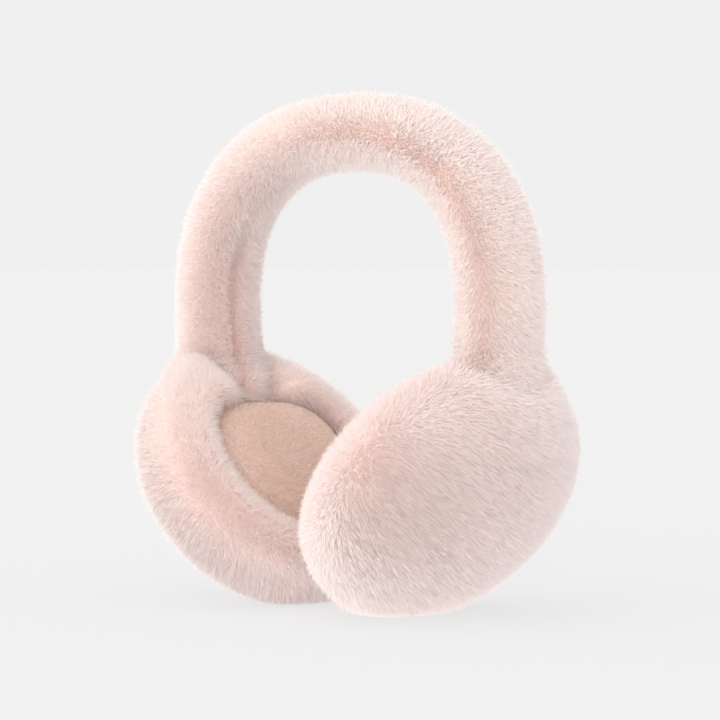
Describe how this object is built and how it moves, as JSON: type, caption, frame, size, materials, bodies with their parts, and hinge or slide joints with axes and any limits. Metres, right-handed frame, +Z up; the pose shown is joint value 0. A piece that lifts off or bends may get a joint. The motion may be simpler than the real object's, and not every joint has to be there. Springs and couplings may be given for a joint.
{
  "type": "fur earmuffs",
  "caption": "Fur-covered earmuffs: a padded fur headband sleeve that joins bun-shaped fur ear covers, each with a fur rim round a crowned short-nap pad.",
  "frame": {"origin": "on the surface that the earmuffs stand on, under the middle of the whole", "axes": "X runs from ear to ear, -Y is the front of the head, +Z is up towards the crown of the headband"},
  "size_m": [0.1828, 0.1176, 0.1954],
  "materials": {
    "long_pile": "soft upright fur pile, pale pink",
    "short_nap": "short brushed nap, beige pink"
  },
  "bodies": {
    "root": {"headband_sleeve": "long_pile", "ear_cover_right": "long_pile", "ear_cover_left": "long_pile", "ear_pad_right": "short_nap", "ear_pad_left": "short_nap"}
  },
  "joints": []
}
